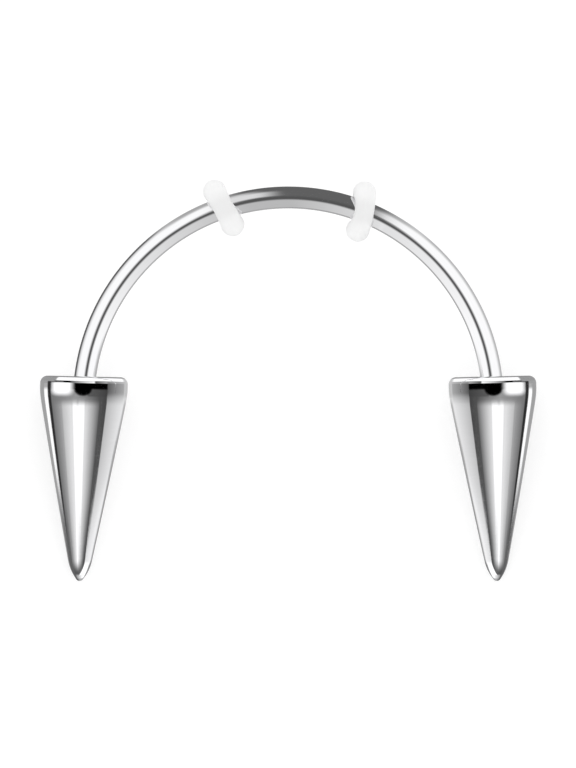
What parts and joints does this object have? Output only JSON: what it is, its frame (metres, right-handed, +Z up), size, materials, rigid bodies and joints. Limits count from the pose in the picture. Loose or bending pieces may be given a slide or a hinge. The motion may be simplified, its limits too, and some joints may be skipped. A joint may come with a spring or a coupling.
{
  "type": "lip ring",
  "caption": "Horseshoe barbell lip ring: a curved polished steel bar with a long screw-on cone spike on each end and soft milky silicone stopper rings near its middle.",
  "frame": {"origin": "under the middle of the whole ring, on the surface that it lies on", "axes": "+X from the left spike to the right one, +Y from the spikes' tips towards the top of the curved bar, +Z up"},
  "size_m": [0.0272, 0.0216, 0.0059],
  "materials": {
    "bar_steel": "polished",
    "spike_steel": "polished",
    "silicone": "satin"
  },
  "bodies": {
    "ring": {"bar": "bar_steel", "oring_left": "silicone", "oring_right": "silicone"},
    "left_spike": {"spike_left": "spike_steel"},
    "right_spike": {"spike_right": "spike_steel"}
  },
  "joints": [
    {"name": "left_spike_off", "type": "slide", "parent": "ring", "child": "left_spike", "axis": [-0.0227, -0.9819, -0.1882], "range_m": [0, 0.0036]},
    {"name": "right_spike_off", "type": "slide", "parent": "ring", "child": "right_spike", "axis": [0.0227, -0.9819, -0.1882], "range_m": [0, 0.0036]}
  ]
}
